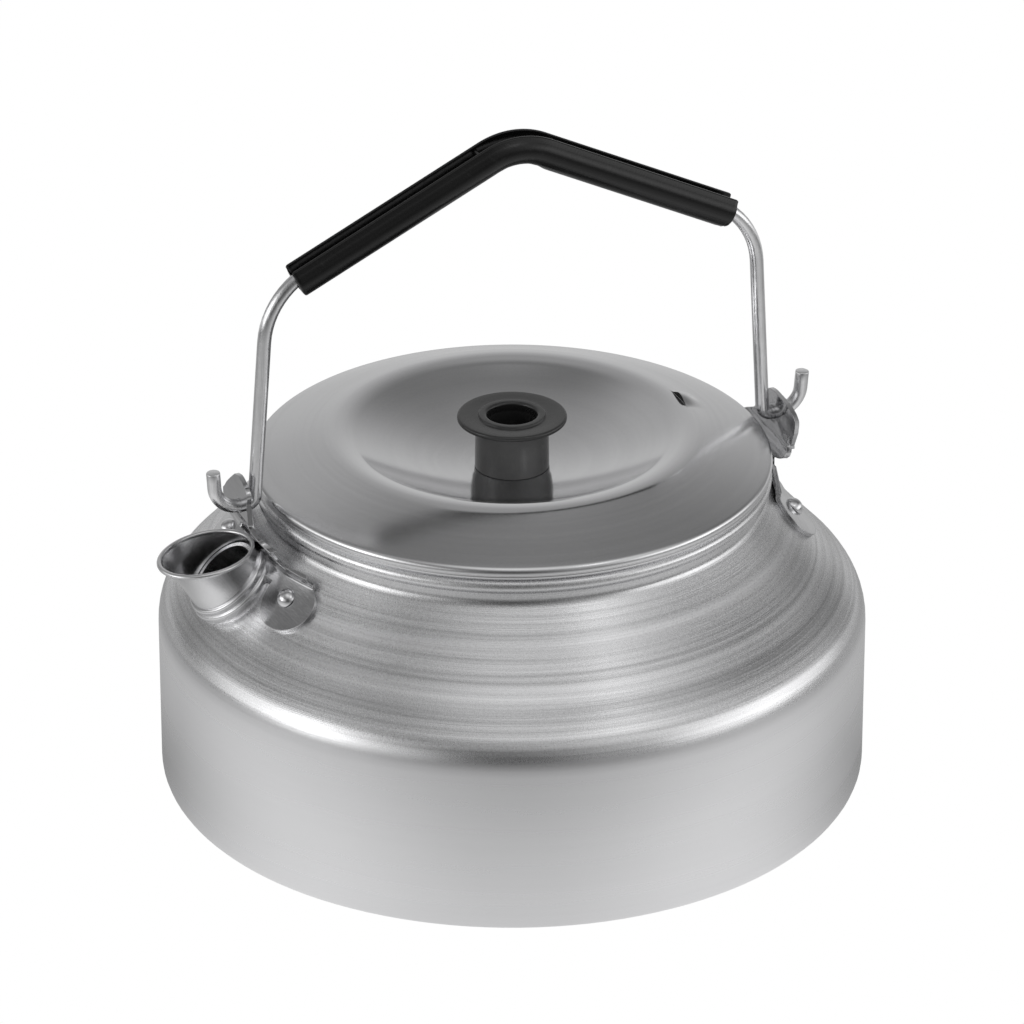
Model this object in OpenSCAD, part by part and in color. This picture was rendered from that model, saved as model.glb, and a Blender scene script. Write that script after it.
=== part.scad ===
// Camp kettle: a squat spun body with a sloping shoulder, a short flared spout,
// a lid with a deep bowl and a spool knob, and a folding wire bail with a grip.
// Origin at the centre of the base, +Z up, spout towards -X, bail axis along X.

/* [Body] */
// Outer radius of the straight wall
body_r = 90; // [85:0.5:96]
// Thickness of the body sheet
body_wall = 1; // [0.8:0.1:1.3]
// Height at which the wall turns into the shoulder
wall_h = 44; // [38:0.5:56]
// Outer radius of the corner between base and wall
base_corner_r = 6; // [4:0.5:10]
// Outer radius of the turn from wall to shoulder
shoulder_bend_r = 11; // [7:0.5:14]
// Slope of the shoulder above the horizontal, in degrees
shoulder_slope = 45; // [42:0.5:47]

/* [Neck] */
// Width of the shoulder, from the wall in to the neck
shoulder_w = 26.2; // [24:0.1:28]
// Radius of the hollow curve from shoulder to neck
neck_flare_r = 9; // [7:0.5:10]
// Height of the neck from the end of that curve to the lip
neck_h = 6.8; // [6.4:0.1:9]
// Section radius of the rolled bead along the lip
lip_roll_r = 2.05; // [1.8:0.05:2.2]
// How far the bead stands out of the neck
lip_overhang = 1.8; // [1.3:0.1:2]
// Height of the narrow band below the bead
lip_band_h = 1.6; // [1.2:0.1:2]
// How far the band stands out of the neck
lip_band_out = 0.8; // [0.5:0.1:1]

/* [Spout] */
// Distance from the neck out to the middle of the spout's foot
spout_out = 10.7; // [10.2:0.1:11.6]
// Slope of the spout's foot ring axis above the horizontal, in degrees
spout_foot_slope = 49; // [46:0.5:52]
// Slope of the flared tube's axis above the horizontal, in degrees
spout_tube_slope = 60; // [57:0.5:62]
// Outer radius of the foot ring
spout_ring_r = 12.3; // [12:0.1:12.6]
// Height of the foot ring above the shoulder
spout_ring_h = 4; // [3.4:0.1:4.4]
// Outer radius of the tube at its waist
spout_waist_r = 10.6; // [10.4:0.1:10.8]
// Outer radius to which the tube flares
spout_flare_r = 14; // [13.4:0.1:14.4]
// Length of the tube above the point where the two axes cross
spout_tube_l = 15; // [14:0.5:16]
// Thickness of the spout sheet
spout_wall = 1.1; // [0.9:0.1:1.2]
// Distance of the mouth plane's centre from where the axes cross
mouth_up = 7.6; // [7:0.1:8]
// Downward slope of the mouth towards its outer tip, in degrees
mouth_dip = 10; // [7:0.5:12]
// Inner radius of the collar drawn up round the pouring hole
pour_r = 8.3; // [7:0.1:8.5]
// Height of that collar above the shoulder
pour_collar_h = 4.5; // [3:0.1:5]

/* [Brackets] */
// Thickness of the bracket sheet
bracket_t = 1.2; // [1:0.1:1.4]
// Distance from the neck out to the upright ear's middle plane
ear_out = 8.6; // [8.4:0.1:9.2]
// Height of the bail hole above the lip
pivot_up = 2; // [1.6:0.1:3]
// Height of the ear above the bail hole
ear_up = 6; // [5:0.1:7.5]
// Reach of the ear's wide wing to the side of the bail hole
ear_wing = 14.4; // [12.5:0.1:15]
// Half width of the ear on its narrow side
ear_narrow = 4.9; // [4.5:0.1:5.6]
// Clearance between the bail wire and its hole
ear_hole_gap = 0.1; // [0.05:0.05:0.4]
// Slope of the leaning web between foot and ear, in degrees
web_slope = 43; // [41:0.5:45]
// Half width of the web at its foot
web_foot = 15.6; // [14.6:0.1:16.2]
// Half width of the web below the wing
web_wing = 11; // [10:0.1:11.6]
// Half width of the web below the narrow side
web_narrow = 5.2; // [4.8:0.1:5.8]
// Middle radius of the fold at the root of the web
root_fold_r = 1.8; // [1.4:0.1:2]
// Middle radius of the fold below the ear
ear_fold_r = 6; // [4:0.5:6.5]
// Radius of the rounded lobes of the foot
lobe_r = 7.8; // [7:0.1:8.2]
// Distance from the neck out to the rivets
rivet_out = 6; // [5.6:0.1:7]
// Distance of each rivet from the bracket's middle
rivet_side = 20.6; // [19.6:0.1:21.4]
// Distance of the foot's inner corners from the bracket's middle
foot_side = 25.8; // [24.6:0.1:26.6]

/* [Rivets] */
// Radius of the rivet shanks
rivet_r = 1.6; // [1.4:0.1:1.8]
// Radius of the domed rivet heads
rivet_head_r = 2.6; // [2.3:0.1:3]
// Height of the domed rivet heads
rivet_head_h = 1.9; // [1.4:0.1:2.2]
// Height of the flat heads inside the kettle
rivet_tail_h = 1; // [0.7:0.1:1.3]

/* [Bail] */
// Diameter of the bail wire
wire_d = 3.5; // [3:0.1:3.8]
// Gap between each leg and the ear beside it
ear_leg_gap = 1.05; // [0.6:0.05:1.4]
// How far each leg leans in from its foot to the upper corner
leg_in = 3.7; // [2.5:0.1:4.5]
// Height of the upper corner above the bail holes
leg_h = 56; // [50:0.5:62]
// Radius of the upper corner
leg_corner_r = 21; // [14:0.5:24]
// Slope of the arms above the horizontal, in degrees
arm_slope = 26.2; // [22:0.2:29]
// Radius of the bend at the top of the bail
apex_r = 26; // [20:0.5:30]
// Radius of the bends beside the ears
leg_foot_r = 2.5; // [2.2:0.1:2.6]
// Distance from the ear out to the hook's corner
hook_out = 6.7; // [6.4:0.1:7.4]
// Radius of the hook's bend
hook_r = 6.4; // [5:0.1:6.5]
// Length of the hook above its corner
hook_l = 10.4; // [8.8:0.2:13]
// Outward lean of the hook, in degrees
hook_lean = 4; // [2:1:12]
// Lean of the resting bail from upright towards -Y, in degrees
bail_lean = 1.5; // [0:0.5:8]

/* [Grip] */
// Distance from each upper corner in to the grip's end
grip_end_in = 7.1; // [6:0.1:14]
// Greatest width of the grip
grip_w = 8.6; // [7.8:0.1:9.4]
// Width of the grip across its open edges
grip_top_w = 6.8; // [6.2:0.1:7.4]
// Height of the open edges above the wire's centre
grip_up = 3.3; // [2.8:0.1:3.8]
// Depth of the underside below the wire's centre
grip_down = 5; // [4.7:0.1:5.6]
// Inside radius of the bend under the top of the grip
grip_bend_r = 12; // [9:0.5:13]
// Half width of the hollow under the top of the grip
hollow_x = 7; // [5:0.5:9]
// Depth of that hollow
hollow_up = 1.2; // [0.6:0.1:1.4]
// Radius of that hollow
hollow_r = 9.6; // [9:0.2:12]
// Clearance between the wire and its channel
grip_fit = 0.12; // [0.05:0.01:0.2]
// Distance of the channel's two crossing lugs from the middle
lug_x = 10; // [8:0.5:12]
// Radius of those lugs
lug_r = 0.6; // [0.4:0.1:0.8]

/* [Lid] */
// Thickness of the lid sheet
lid_wall = 1; // [0.8:0.1:1.2]
// How far the rim stands out past the neck's bead
lid_overhang = 0.1; // [0:0.1:1]
// Gap between the lid's seat and the lip
lid_seat_gap = 0.15; // [0.1:0.05:0.3]
// Radial clearance of the lid's skirt in the neck
lid_fit = 0.4; // [0.3:0.05:0.8]
// Depth of the skirt below the lip
skirt_h = 6.5; // [4:0.5:10]
// Height of the rim above its seat
rim_h = 1.85; // [1.7:0.05:2.4]
// Radius of the rim's upper round
rim_bend_r = 1.7; // [1.3:0.1:1.8]
// Section radius of the rim's lower round
rim_hem_r = 0.85; // [0.7:0.05:0.9]
// Slope of the crown at the rim, in degrees
crown_slope_out = 24.3; // [22:0.1:27]
// Slope of the crown beside the crest, in degrees
crown_slope_in = 17; // [14:0.5:18]
// Distance from the rim in to the crest round the bowl
crown_w = 20.7; // [18:0.1:25]
// Section radius of the crest
crest_bend_r = 4; // [2.5:0.5:6]
// Depth of the bowl below the crest
bowl_depth = 11.2; // [9:0.1:12]
// Radius of the flat seat in the middle of the bowl
bowl_flat_r = 10.4; // [10.2:0.1:14]
// Distance from the rim in to the middle of the steam vent
vent_in = 18.8; // [15:0.1:19]
// Half width of the steam vent
vent_r = 2.9; // [2.2:0.1:3.2]
// Height of the vent's hood
vent_h = 1.1; // [0.9:0.1:1.4]

/* [Knob] */
// Height of the knob
knob_h = 14.3; // [12:0.1:18]
// Radius of the knob's flange
knob_flange_r = 13.85; // [12:0.05:16]
// Thickness of the flange at its edge
knob_edge_h = 1.3; // [1:0.1:1.8]
// Radius of the knob's stem at its foot
knob_stem_r = 9.4; // [8.6:0.1:10]
// Narrowing of the stem from foot to flange
knob_taper = 0.2; // [0:0.05:0.4]
// Radius of the knob's bore
knob_bore_r = 6.3; // [5.9:0.1:6.8]
// Thickness of the knob's floor
knob_floor = 3; // [2:0.1:4]
// Radius of the knob rivet's shank
knob_rivet_r = 2; // [1.6:0.1:2.2]
// Radius of the washer in the bore
washer_r = 5.4; // [4.6:0.1:5.6]
// Thickness of that washer
washer_t = 0.8; // [0.6:0.1:1.2]

/* [Hidden] */
$fn = 96;
// Steps in each rounded corner of a profile
steps = 7;
// Clearance round the rivet shanks
shank_gap = 0.05;
// Facets round a bent bar
bar_fn = 24;
// Extra thickness of a swept piece at its bends
bend_swell = 0.015;
// How far a straight run reaches into the bend beside it
run_on = 0.1;
// Lift of a flat rivet head on the rounded sheet
head_lift = 0.04;
// Gap between the spout sleeve and the collar inside it
sleeve_gap = 0.1;
// Gap between a bracket and the spout's foot ring
ring_gap = 0.5;
// A length past every surface, for cutters
far = 200;

// Points along an arc, and the bends of a path made of straight runs
function arc(c, r, a0, a1, n = steps) =
    [for (i = [0:n]) c + r * [cos(a0 + (a1 - a0) * i / n), sin(a0 + (a1 - a0) * i / n)]];
function unit(v) = v / norm(v);
function side_at(p, q, r) = cross(unit(q - p), unit(r - q)) < 0 ? -1 : 1;
function turn_at(p, q, r) = acos(unit(q - p) * unit(r - q));
function bend_in(p, q, r, rad) = q - unit(q - p) * rad * tan(turn_at(p, q, r) / 2);
function bend_out(p, q, r, rad) = q + unit(r - q) * rad * tan(turn_at(p, q, r) / 2);
function bend_centre(p, q, r, rad) =
    let (a = unit(q - p)) bend_in(p, q, r, rad) + side_at(p, q, r) * rad * [-a.y, a.x];
function bend_arc(p, q, r, rad) =
    let (c = bend_centre(p, q, r, rad), s = bend_in(p, q, r, rad) - c, a = atan2(s.y, s.x))
    arc(c, rad, a, a + side_at(p, q, r) * turn_at(p, q, r));
function rounded(p, rad) = concat(
    [p[0]],
    [for (i = [1:len(p) - 2]) each bend_arc(p[i - 1], p[i], p[i + 1], rad[i - 1])],
    [p[len(p) - 1]]);

// A path moved sideways by d, to its left where d is positive
function left_of(a, b) = let (v = unit(b - a)) [-v.y, v.x];
function moved(p, d) = [for (i = [0:len(p) - 1])
    let (last = len(p) - 1,
         m = left_of(p[max(i - 1, 0)], p[max(i, 1)])
           + left_of(p[min(i, last - 1)], p[min(i + 1, last)]))
    p[i] + m * (2 * d / (m * m))];
function reversed(p) = [for (i = [len(p) - 1:-1:0]) p[i]];
function sheet(p, t) = concat(moved(p, -t / 2), reversed(moved(p, t / 2)));

// Body profile: base, corner, wall, shoulder turn, cone, hollow curve, neck
neck_r = body_r - shoulder_w;
shoulder_c = [body_r - shoulder_bend_r, wall_h];
cone_foot = shoulder_c + shoulder_bend_r * [sin(shoulder_slope), cos(shoulder_slope)];
function shoulder_z(r) = cone_foot.y + (cone_foot.x - r) * tan(shoulder_slope);
cone_top_r = neck_r + neck_flare_r * (1 - sin(shoulder_slope));
flare_c = [neck_r + neck_flare_r, shoulder_z(cone_top_r) + neck_flare_r * cos(shoulder_slope)];
lip_z = flare_c.y + neck_h;
body_line = concat(
    [[0, 0]],
    arc([body_r - base_corner_r, base_corner_r], base_corner_r, -90, 0),
    arc(shoulder_c, shoulder_bend_r, 0, 90 - shoulder_slope),
    arc(flare_c, neck_flare_r, 270 - shoulder_slope, 180));
neck_in_r = neck_r - body_wall;
lip_r = neck_r + lip_overhang;
roll_c = [lip_r - lip_roll_r, lip_z - lip_roll_r];
band_r = neck_r + lip_band_out;
band_angle = acos((band_r - roll_c.x) / lip_roll_r);
band_z = roll_c.y - lip_roll_r - lip_band_h;
lip_edge_r = 0.6;
lip_line = concat(
    [[neck_r, band_z], [band_r, band_z + lip_band_out / 2]],
    arc(roll_c, lip_roll_r, -band_angle, 90),
    arc([neck_in_r + lip_edge_r, lip_z - lip_edge_r], lip_edge_r, 90, 180, 3));

// The sloping shoulder as a solid, for what is seated on it or cut by it
module body_outside() {
    rotate_extrude() polygon(concat(body_line, lip_line, [[neck_in_r, lip_z - 2], [0, lip_z - 2]]));
}

module body_inside() {
    rotate_extrude() polygon(concat(moved(body_line, body_wall), [[neck_in_r, far], [0, far]]));
}

spout_at_r = neck_r + spout_out;
rivet_at_r = neck_r + rivet_out;
rivet_angle = asin(rivet_side / rivet_at_r);

// Places its children on the shoulder at radius r, turned a about the kettle, +Z along the normal
module on_shoulder(r, a) {
    rotate([0, 0, a]) translate([r, 0, shoulder_z(r)]) rotate([0, shoulder_slope, 0]) children();
}

// Places its children on the spout's foot, +Z along the foot ring's axis
module at_spout_foot() {
    translate([-spout_at_r, 0, shoulder_z(spout_at_r)]) rotate([0, spout_foot_slope - 90, 0]) children();
}

// Places its children where the two spout axes cross, +Z along the flared tube
module at_spout_tube() {
    at_spout_foot() translate([0, 0, spout_ring_h]) rotate([0, spout_tube_slope - spout_foot_slope, 0])
        children();
}

module rivet_holes(a) {
    for (s = [-1, 1])
        on_shoulder(rivet_at_r, a + s * rivet_angle)
            cylinder(r = rivet_r + shank_gap, h = 20, center = true);
}

module body_shell() {
    color([0.78, 0.78, 0.79])
    difference() {
        union() {
            body_outside();
            at_spout_foot() translate([0, 0, -4]) cylinder(r = pour_r + body_wall, h = 4 + pour_collar_h);
        }
        body_inside();
        at_spout_foot() cylinder(r = pour_r, h = 30, center = true);
        rivet_holes(0);
        rivet_holes(180);
    }
}

// Spout: a beaded foot ring on the shoulder that runs into a flared tube with an oblique mouth
ring_bead = spout_ring_h / 2;
spout_in_r = pour_r + body_wall + sleeve_gap;
ring_line = concat(
    [[spout_in_r, -6], [spout_ring_r, -6]],
    arc([spout_ring_r - 0.7, ring_bead - 0.8], 0.7, 0, 75, 3),
    arc([spout_waist_r + 0.5, spout_ring_h - 0.7], 0.7, -30, 90, 4),
    [[spout_in_r, spout_ring_h]]);
tube_low = -3.4;
tube_rise = spout_tube_l * 0.1;
flare_arc_r = (pow(spout_tube_l - tube_rise, 2) + pow(spout_flare_r - spout_waist_r, 2))
    / (2 * (spout_flare_r - spout_waist_r));
flare_arc_a = asin((spout_tube_l - tube_rise) / flare_arc_r);
tube_line = concat(
    [[spout_waist_r, tube_low]],
    arc([spout_waist_r + flare_arc_r, tube_rise], flare_arc_r, 180, 180 - flare_arc_a, 8));

module spout() {
    color([0.8, 0.8, 0.81])
    difference() {
        union() {
            at_spout_foot() rotate_extrude() polygon(ring_line);
            at_spout_tube() rotate_extrude() polygon(concat(tube_line, [[0, spout_tube_l], [0, tube_low]]));
        }
        at_spout_tube() rotate_extrude()
            polygon(concat(moved(tube_line, spout_wall), [[0, spout_tube_l + 1], [0, tube_low - 1]]));
        at_spout_foot() translate([0, 0, -8]) cylinder(r = spout_in_r, h = 8 + spout_ring_h);
        at_spout_tube() translate([0, 0, mouth_up]) rotate([0, 90 - spout_tube_slope - mouth_dip, 0])
            translate([-20, -20, 0]) cube([40, 40, 30]);
        body_outside();
    }
}

// Bracket: one stamping with two riveted lobes, a leaning web over the spout and an upright ear
ear_x = neck_r + ear_out;
pivot_z = lip_z + pivot_up;
root_angle = asin(foot_side / rivet_at_r);
foot_up = bracket_t / 2 / cos(shoulder_slope);
root_x = cone_top_r - 1.3;
root_z = shoulder_z(root_x) + foot_up;
// The web is curved about the kettle's axis and the ear is flat, so they cross 7 mm from the middle
web_top_r = norm([ear_x, 7]);
fold_z = root_z + (web_top_r - root_x) * tan(web_slope);
web_end_z = fold_z + ear_fold_r * tan((90 - web_slope) / 2) + 0.6;
foot_out_r = rivet_at_r + lobe_r;
web_line = rounded(
    [[foot_out_r, shoulder_z(foot_out_r) + foot_up], [root_x, root_z], [web_top_r, fold_z],
     [web_top_r, web_end_z]],
    [root_fold_r, ear_fold_r]);
ear_top = pivot_z + ear_up;

// Outlines seen from the side, y towards the narrow side, z up: first the web, then the ear
web_outline = rounded(
    [[-web_foot, root_z - 1], [-web_foot, root_z + 0.8], [-web_wing, root_z + 3.8], [-web_wing - 0.6, pivot_z - 1],
     [web_narrow - 0.8, pivot_z - 1], [web_narrow, root_z + 4], [web_foot, root_z + 0.8], [web_foot, root_z - 1]],
    [1, 5, 0.5, 0.5, 4, 1]);
ear_outline = rounded(
    [[0, pivot_z - 6.4], [-web_wing, pivot_z - 6], [-ear_wing, pivot_z + 0.8], [-ear_wing + 0.4, ear_top - 0.3],
     [0, ear_top + 0.2], [ear_narrow, ear_top - 0.7], [ear_narrow - 0.4, pivot_z - 5.6], [0, pivot_z - 6.4]],
    [2, 4.5, 3.6, 9, 3.5, 2.5]);

module bracket() {
    difference() {
        union() {
            intersection() {
                rotate([0, 0, -30]) rotate_extrude(angle = 60) polygon(sheet(web_line, bracket_t));
                union() {
                    for (s = [-1, 1])
                        on_shoulder(rivet_at_r, s * rivet_angle)
                            cylinder(r = lobe_r, h = 7, center = true);
                    rotate([0, 0, -root_angle]) rotate_extrude(angle = 2 * root_angle)
                        translate([cone_top_r - 5, root_z - 8]) square([8, 8 + root_fold_r / 3]);
                    rotate([90, 0, 90]) linear_extrude(far) polygon(web_outline);
                }
            }
            translate([ear_x - bracket_t / 2, 0, 0]) rotate([90, 0, 90])
                linear_extrude(bracket_t) polygon(ear_outline);
        }
        translate([ear_x - 10, 0, pivot_z]) rotate([0, 90, 0])
            cylinder(r = wire_d / 2 + ear_hole_gap, h = 20);
        rotate([0, 0, 180]) at_spout_foot() translate([0, 0, -8])
            cylinder(r = spout_ring_r + ring_gap, h = 8 + spout_ring_h + ring_gap);
        rivet_holes(0);
    }
}

module front_bracket() {
    color([0.72, 0.72, 0.74]) rotate([0, 0, 180]) bracket();
}

module rear_bracket() {
    color([0.72, 0.72, 0.74]) bracket();
}

// Rivet: domed head on the bracket, flat tail against the inside of the shoulder
dome_r = (pow(rivet_head_r, 2) + pow(rivet_head_h, 2)) / (2 * rivet_head_h);
module rivet(a) {
    tail_z = body_wall + head_lift;
    color([0.82, 0.82, 0.83]) on_shoulder(rivet_at_r, a) {
        translate([0, 0, bracket_t + head_lift]) intersection() {
            translate([0, 0, rivet_head_h - dome_r]) sphere(r = dome_r);
            cylinder(r = rivet_head_r, h = rivet_head_h);
        }
        translate([0, 0, -tail_z]) cylinder(r = rivet_r, h = tail_z + bracket_t + head_lift + 0.2);
        translate([0, 0, -tail_z - rivet_tail_h]) cylinder(r = rivet_head_r, h = rivet_tail_h);
    }
}

module front_rivet_left() {
    rivet(180 - rivet_angle);
}

module front_rivet_right() {
    rivet(180 + rivet_angle);
}

module rear_rivet_left() {
    rivet(rivet_angle);
}

module rear_rivet_right() {
    rivet(-rivet_angle);
}

// Bail wire, drawn in its own plane with the bail holes at height 0
wire_r = wire_d / 2;
leg_foot_x = ear_x - bracket_t / 2 - ear_leg_gap - wire_r;
leg_top_x = leg_foot_x - leg_in;
hook_x = ear_x + hook_out;
leg_top = [leg_top_x, leg_h];
hook_tip = [hook_x, 0] + hook_l * [sin(hook_lean), cos(hook_lean)];
bail_top = [0, leg_h + leg_top_x * tan(arm_slope)];
function mirrored(p) = [-p.x, p.y];
bail_line = [hook_tip, [hook_x, 0], [leg_foot_x, 0], leg_top, bail_top,
    mirrored(leg_top), [-leg_foot_x, 0], [-hook_x, 0], mirrored(hook_tip)];
bail_bends = [hook_r, leg_foot_r, leg_corner_r, apex_r, leg_corner_r, leg_foot_r, hook_r];

// Stands its children in the bail's plane: leaned back to rest, at the height of the holes
module in_bail() {
    translate([0, 0, pivot_z]) rotate([bail_lean, 0, 0]) children();
}

// A round bar from point a to point b of the bail's plane
module bar(a, b, r) {
    translate([a.x, 0, a.y]) rotate([0, atan2(b.x - a.x, b.y - a.y), 0])
        cylinder(r = r, h = norm(b - a), $fn = bar_fn);
}

// One true bend of a round bar, at corner i of path p, a hair thicker than the runs that end in it
module bar_bend(p, bends, i, r) {
    rad = bends[i - 1];
    c = bend_centre(p[i - 1], p[i], p[i + 1], rad);
    left = side_at(p[i - 1], p[i], p[i + 1]) > 0;
    a = (left ? bend_in(p[i - 1], p[i], p[i + 1], rad) : bend_out(p[i - 1], p[i], p[i + 1], rad)) - c;
    translate([c.x, 0, c.y]) rotate([90, 0, 0]) rotate([0, 0, atan2(a.y, a.x)])
        rotate_extrude(angle = turn_at(p[i - 1], p[i], p[i + 1]))
        translate([rad, 0]) circle(r = r + bend_swell, $fn = bar_fn);
}

// A round bar along path p up to its run k, joined on piece by piece
module bent_bar(p, bends, r, k) {
    last = len(p) - 1;
    dir = unit(p[k + 1] - p[k]);
    a = k == 0 ? p[0] : bend_out(p[k - 1], p[k], p[k + 1], bends[k - 1]) - run_on * dir;
    b = k == last - 1 ? p[last] : bend_in(p[k], p[k + 1], p[k + 2], bends[k]) + run_on * dir;
    if (k > 0) {
        union() {
            union() {
                bent_bar(p, bends, r, k - 1);
                bar_bend(p, bends, k, r);
            }
            bar(a, b, r);
        }
    } else {
        bar(a, b, r);
    }
}

module bail_wire() {
    color([0.75, 0.75, 0.76]) in_bail() bent_bar(bail_line, bail_bends, wire_r, len(bail_line) - 2);
}

// Grip: a moulded channel, open on its outer side, swept over the arms and the top bend
grip_side_r = grip_w / 2;
grip_end_x = leg_top_x - grip_end_in;
function grip_section(e) = concat(
    arc([0, grip_side_r - grip_down], grip_side_r + e, 180, 360, 12),
    [[grip_top_w / 2 + e, grip_up - 0.7], [grip_top_w / 2 - 0.6, grip_up + e],
     [0.6 - grip_top_w / 2, grip_up + e], [-grip_top_w / 2 - e, grip_up - 0.7]]);
arm_dir = [cos(arm_slope), -sin(arm_slope)];
arm_out = [sin(arm_slope), cos(arm_slope)];
grip_end = bail_top + arm_dir * (grip_end_x / cos(arm_slope));
sweep_r = grip_bend_r + grip_down;
sweep_in = sweep_r * tan(arm_slope) - run_on;
sweep_z = bail_top.y - sweep_r / cos(arm_slope);

// Side view of the grip: clear of its top, with a rounded corner at each lower end
grip_side = rounded(
    [grip_end - arm_dir * 12 + (grip_up + 3) * arm_out, grip_end + arm_dir * 2 + (grip_up + 3) * arm_out,
     grip_end + arm_dir * 2 - (grip_down - 2) * arm_out, grip_end - arm_dir * 1.2 - (grip_down + 0.6) * arm_out,
     grip_end - arm_dir * 12 - (grip_down + 3) * arm_out],
    [0.5, 2.5, 0.5]);
grip_under = [0, bail_top.y - grip_down / cos(arm_slope) - 8];

// Side view of the hollow under the top, where a finger or a hook sits
hollow_top = sweep_z + grip_bend_r + hollow_up;
hollow_arc = arc([0, hollow_top - hollow_r], hollow_r, 90 - asin(hollow_x / hollow_r),
    90 + asin(hollow_x / hollow_r), 10);

module in_side_view(w) {
    rotate([90, 0, 0]) translate([0, 0, -w / 2]) linear_extrude(w) children();
}

module grip_sweep() {
    for (s = [-1, 1])
        translate([0, 0, bail_top.y]) rotate([0, s * (90 + arm_slope), 0]) translate([0, 0, sweep_in])
            rotate([0, 0, s * 90]) linear_extrude(grip_end_x / cos(arm_slope) - sweep_in)
            polygon(grip_section(0));
    translate([0, 0, sweep_z]) rotate([90, 0, 0])
        rotate([0, 0, 90 - arm_slope]) rotate_extrude(angle = 2 * arm_slope)
        translate([sweep_r, 0]) rotate([0, 0, -90]) polygon(grip_section(bend_swell));
}

channel_end = grip_end + arm_dir * 5;

module wire_channel() {
    bent_bar(bail_line, bail_bends, wire_r + grip_fit, len(bail_line) - 2);
    in_side_view(wire_d + 2 * grip_fit - 0.1)
        polygon(concat(
            [mirrored(channel_end)], arc(top_arc_c, apex_r, 90 + arm_slope, 90 - arm_slope, 16),
            [channel_end, [channel_end.x, far], [-channel_end.x, far]]));
}

top_arc_c = [0, bail_top.y - apex_r / cos(arm_slope)];
lug_a = asin(lug_x / apex_r);
lug_out = wire_r + grip_fit + lug_r;
module channel_lugs() {
    for (s = [-1, 1])
        translate([s * (apex_r + lug_out) * sin(lug_a), 0, top_arc_c.y + (apex_r + lug_out) * cos(lug_a)])
            rotate([90, 0, 0]) cylinder(r = lug_r, h = grip_top_w - 1, center = true, $fn = 24);
}

module bail_grip() {
    color([0.09, 0.09, 0.1]) in_bail() {
        difference() {
            intersection() {
                grip_sweep();
                in_side_view(grip_w + 2)
                    polygon(concat([[0, bail_top.y + 20]], grip_side, [grip_under],
                        [for (p = reversed(grip_side)) mirrored(p)]));
            }
            in_side_view(grip_w + 2)
                polygon(concat(hollow_arc, [[-hollow_x, hollow_top - 9], [hollow_x, hollow_top - 9]]));
            wire_channel();
        }
        channel_lugs();
    }
}

// Lid profile: flat seat, bowl, crest, crown, rolled rim and a skirt inside the neck
seat_z = lip_z + lid_seat_gap;
lid_r = lip_r + lid_overhang;
rim_c = [lid_r - rim_bend_r, seat_z + rim_h];
crest_r = lid_r - crown_w;
vent_at_r = lid_r - vent_in;
function up_dir(a) = [sin(a), cos(a)];
crown_in_x = crest_r + crest_bend_r * sin(crown_slope_in);
crown_r = (rim_c.x - crown_in_x + rim_bend_r * sin(crown_slope_out))
    / (sin(crown_slope_out) - sin(crown_slope_in));
crown_c = rim_c - (crown_r - rim_bend_r) * up_dir(crown_slope_out);
crest_c = crown_c + (crown_r - crest_bend_r) * up_dir(crown_slope_in);
crest_z = crest_c.y + crest_bend_r;
bowl_r = (pow(crest_r, 2) + pow(bowl_depth, 2) - 2 * bowl_depth * crest_bend_r) / (2 * bowl_depth);
bowl_c = [0, crest_z - bowl_depth + bowl_r];
bowl_edge_a = atan2(crest_c.x, bowl_c.y - crest_c.y);
bowl_flat_a = asin(bowl_flat_r / bowl_r);
bowl_z = bowl_c.y - bowl_r * cos(bowl_flat_a);
lid_top = concat(
    [[0, bowl_z]],
    arc(bowl_c, bowl_r, -90 + bowl_flat_a, -90 + bowl_edge_a, 12),
    arc(crest_c, crest_bend_r, 90 + bowl_edge_a, 90 - crown_slope_in),
    arc(crown_c, crown_r, 90 - crown_slope_in, 90 - crown_slope_out, 8));
hem_c = [lid_r - rim_hem_r - 0.1, seat_z + rim_hem_r];
skirt_r = neck_in_r - lid_fit;
lid_line = concat(
    lid_top,
    arc(rim_c, rim_bend_r, 90 - crown_slope_out, -22),
    arc(hem_c, rim_hem_r, 35, -90, 5),
    [[skirt_r, seat_z], [skirt_r, seat_z - skirt_h], [skirt_r - lid_wall, seat_z - skirt_h]]);
skirt_in_r = skirt_r - lid_wall;
skirt_in_a = asin((skirt_in_r - crown_c.x) / (crown_r - lid_wall));
under_line = [for (p = moved(lid_top, -lid_wall)) if (p.x < skirt_in_r - 0.5) p];

module vent_place() {
    a = asin((vent_at_r - crown_c.x) / crown_r);
    translate([vent_at_r, 0, crown_c.y + crown_r * cos(a)]) rotate([0, a, 0]) children();
}

module lid() {
    hood_r = vent_r * 1.35;
    hood_down = hood_r - vent_h;
    hood_wall = lid_wall * 0.6;
    color([0.8, 0.8, 0.81])
    difference() {
        union() {
            rotate_extrude()
                polygon(concat(lid_line,
                    [crown_c + (crown_r - lid_wall) * [sin(skirt_in_a), cos(skirt_in_a)]],
                    reversed(under_line)));
            vent_place() translate([0, 0, -hood_down]) sphere(r = hood_r, $fn = 48);
        }
        vent_place() translate([0, 0, -hood_down]) sphere(r = hood_r - hood_wall, $fn = 48);
        vent_place() translate([-far - vent_r / 8, -vent_r, 0.05]) cube([far, 2 * vent_r, 2 * hood_r]);
        vent_place() translate([-hood_r, -hood_r, -2 * hood_r - lid_wall]) cube(2 * hood_r);
        translate([0, 0, bowl_z]) cylinder(r = knob_rivet_r + shank_gap, h = 10, center = true);
    }
}

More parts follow.
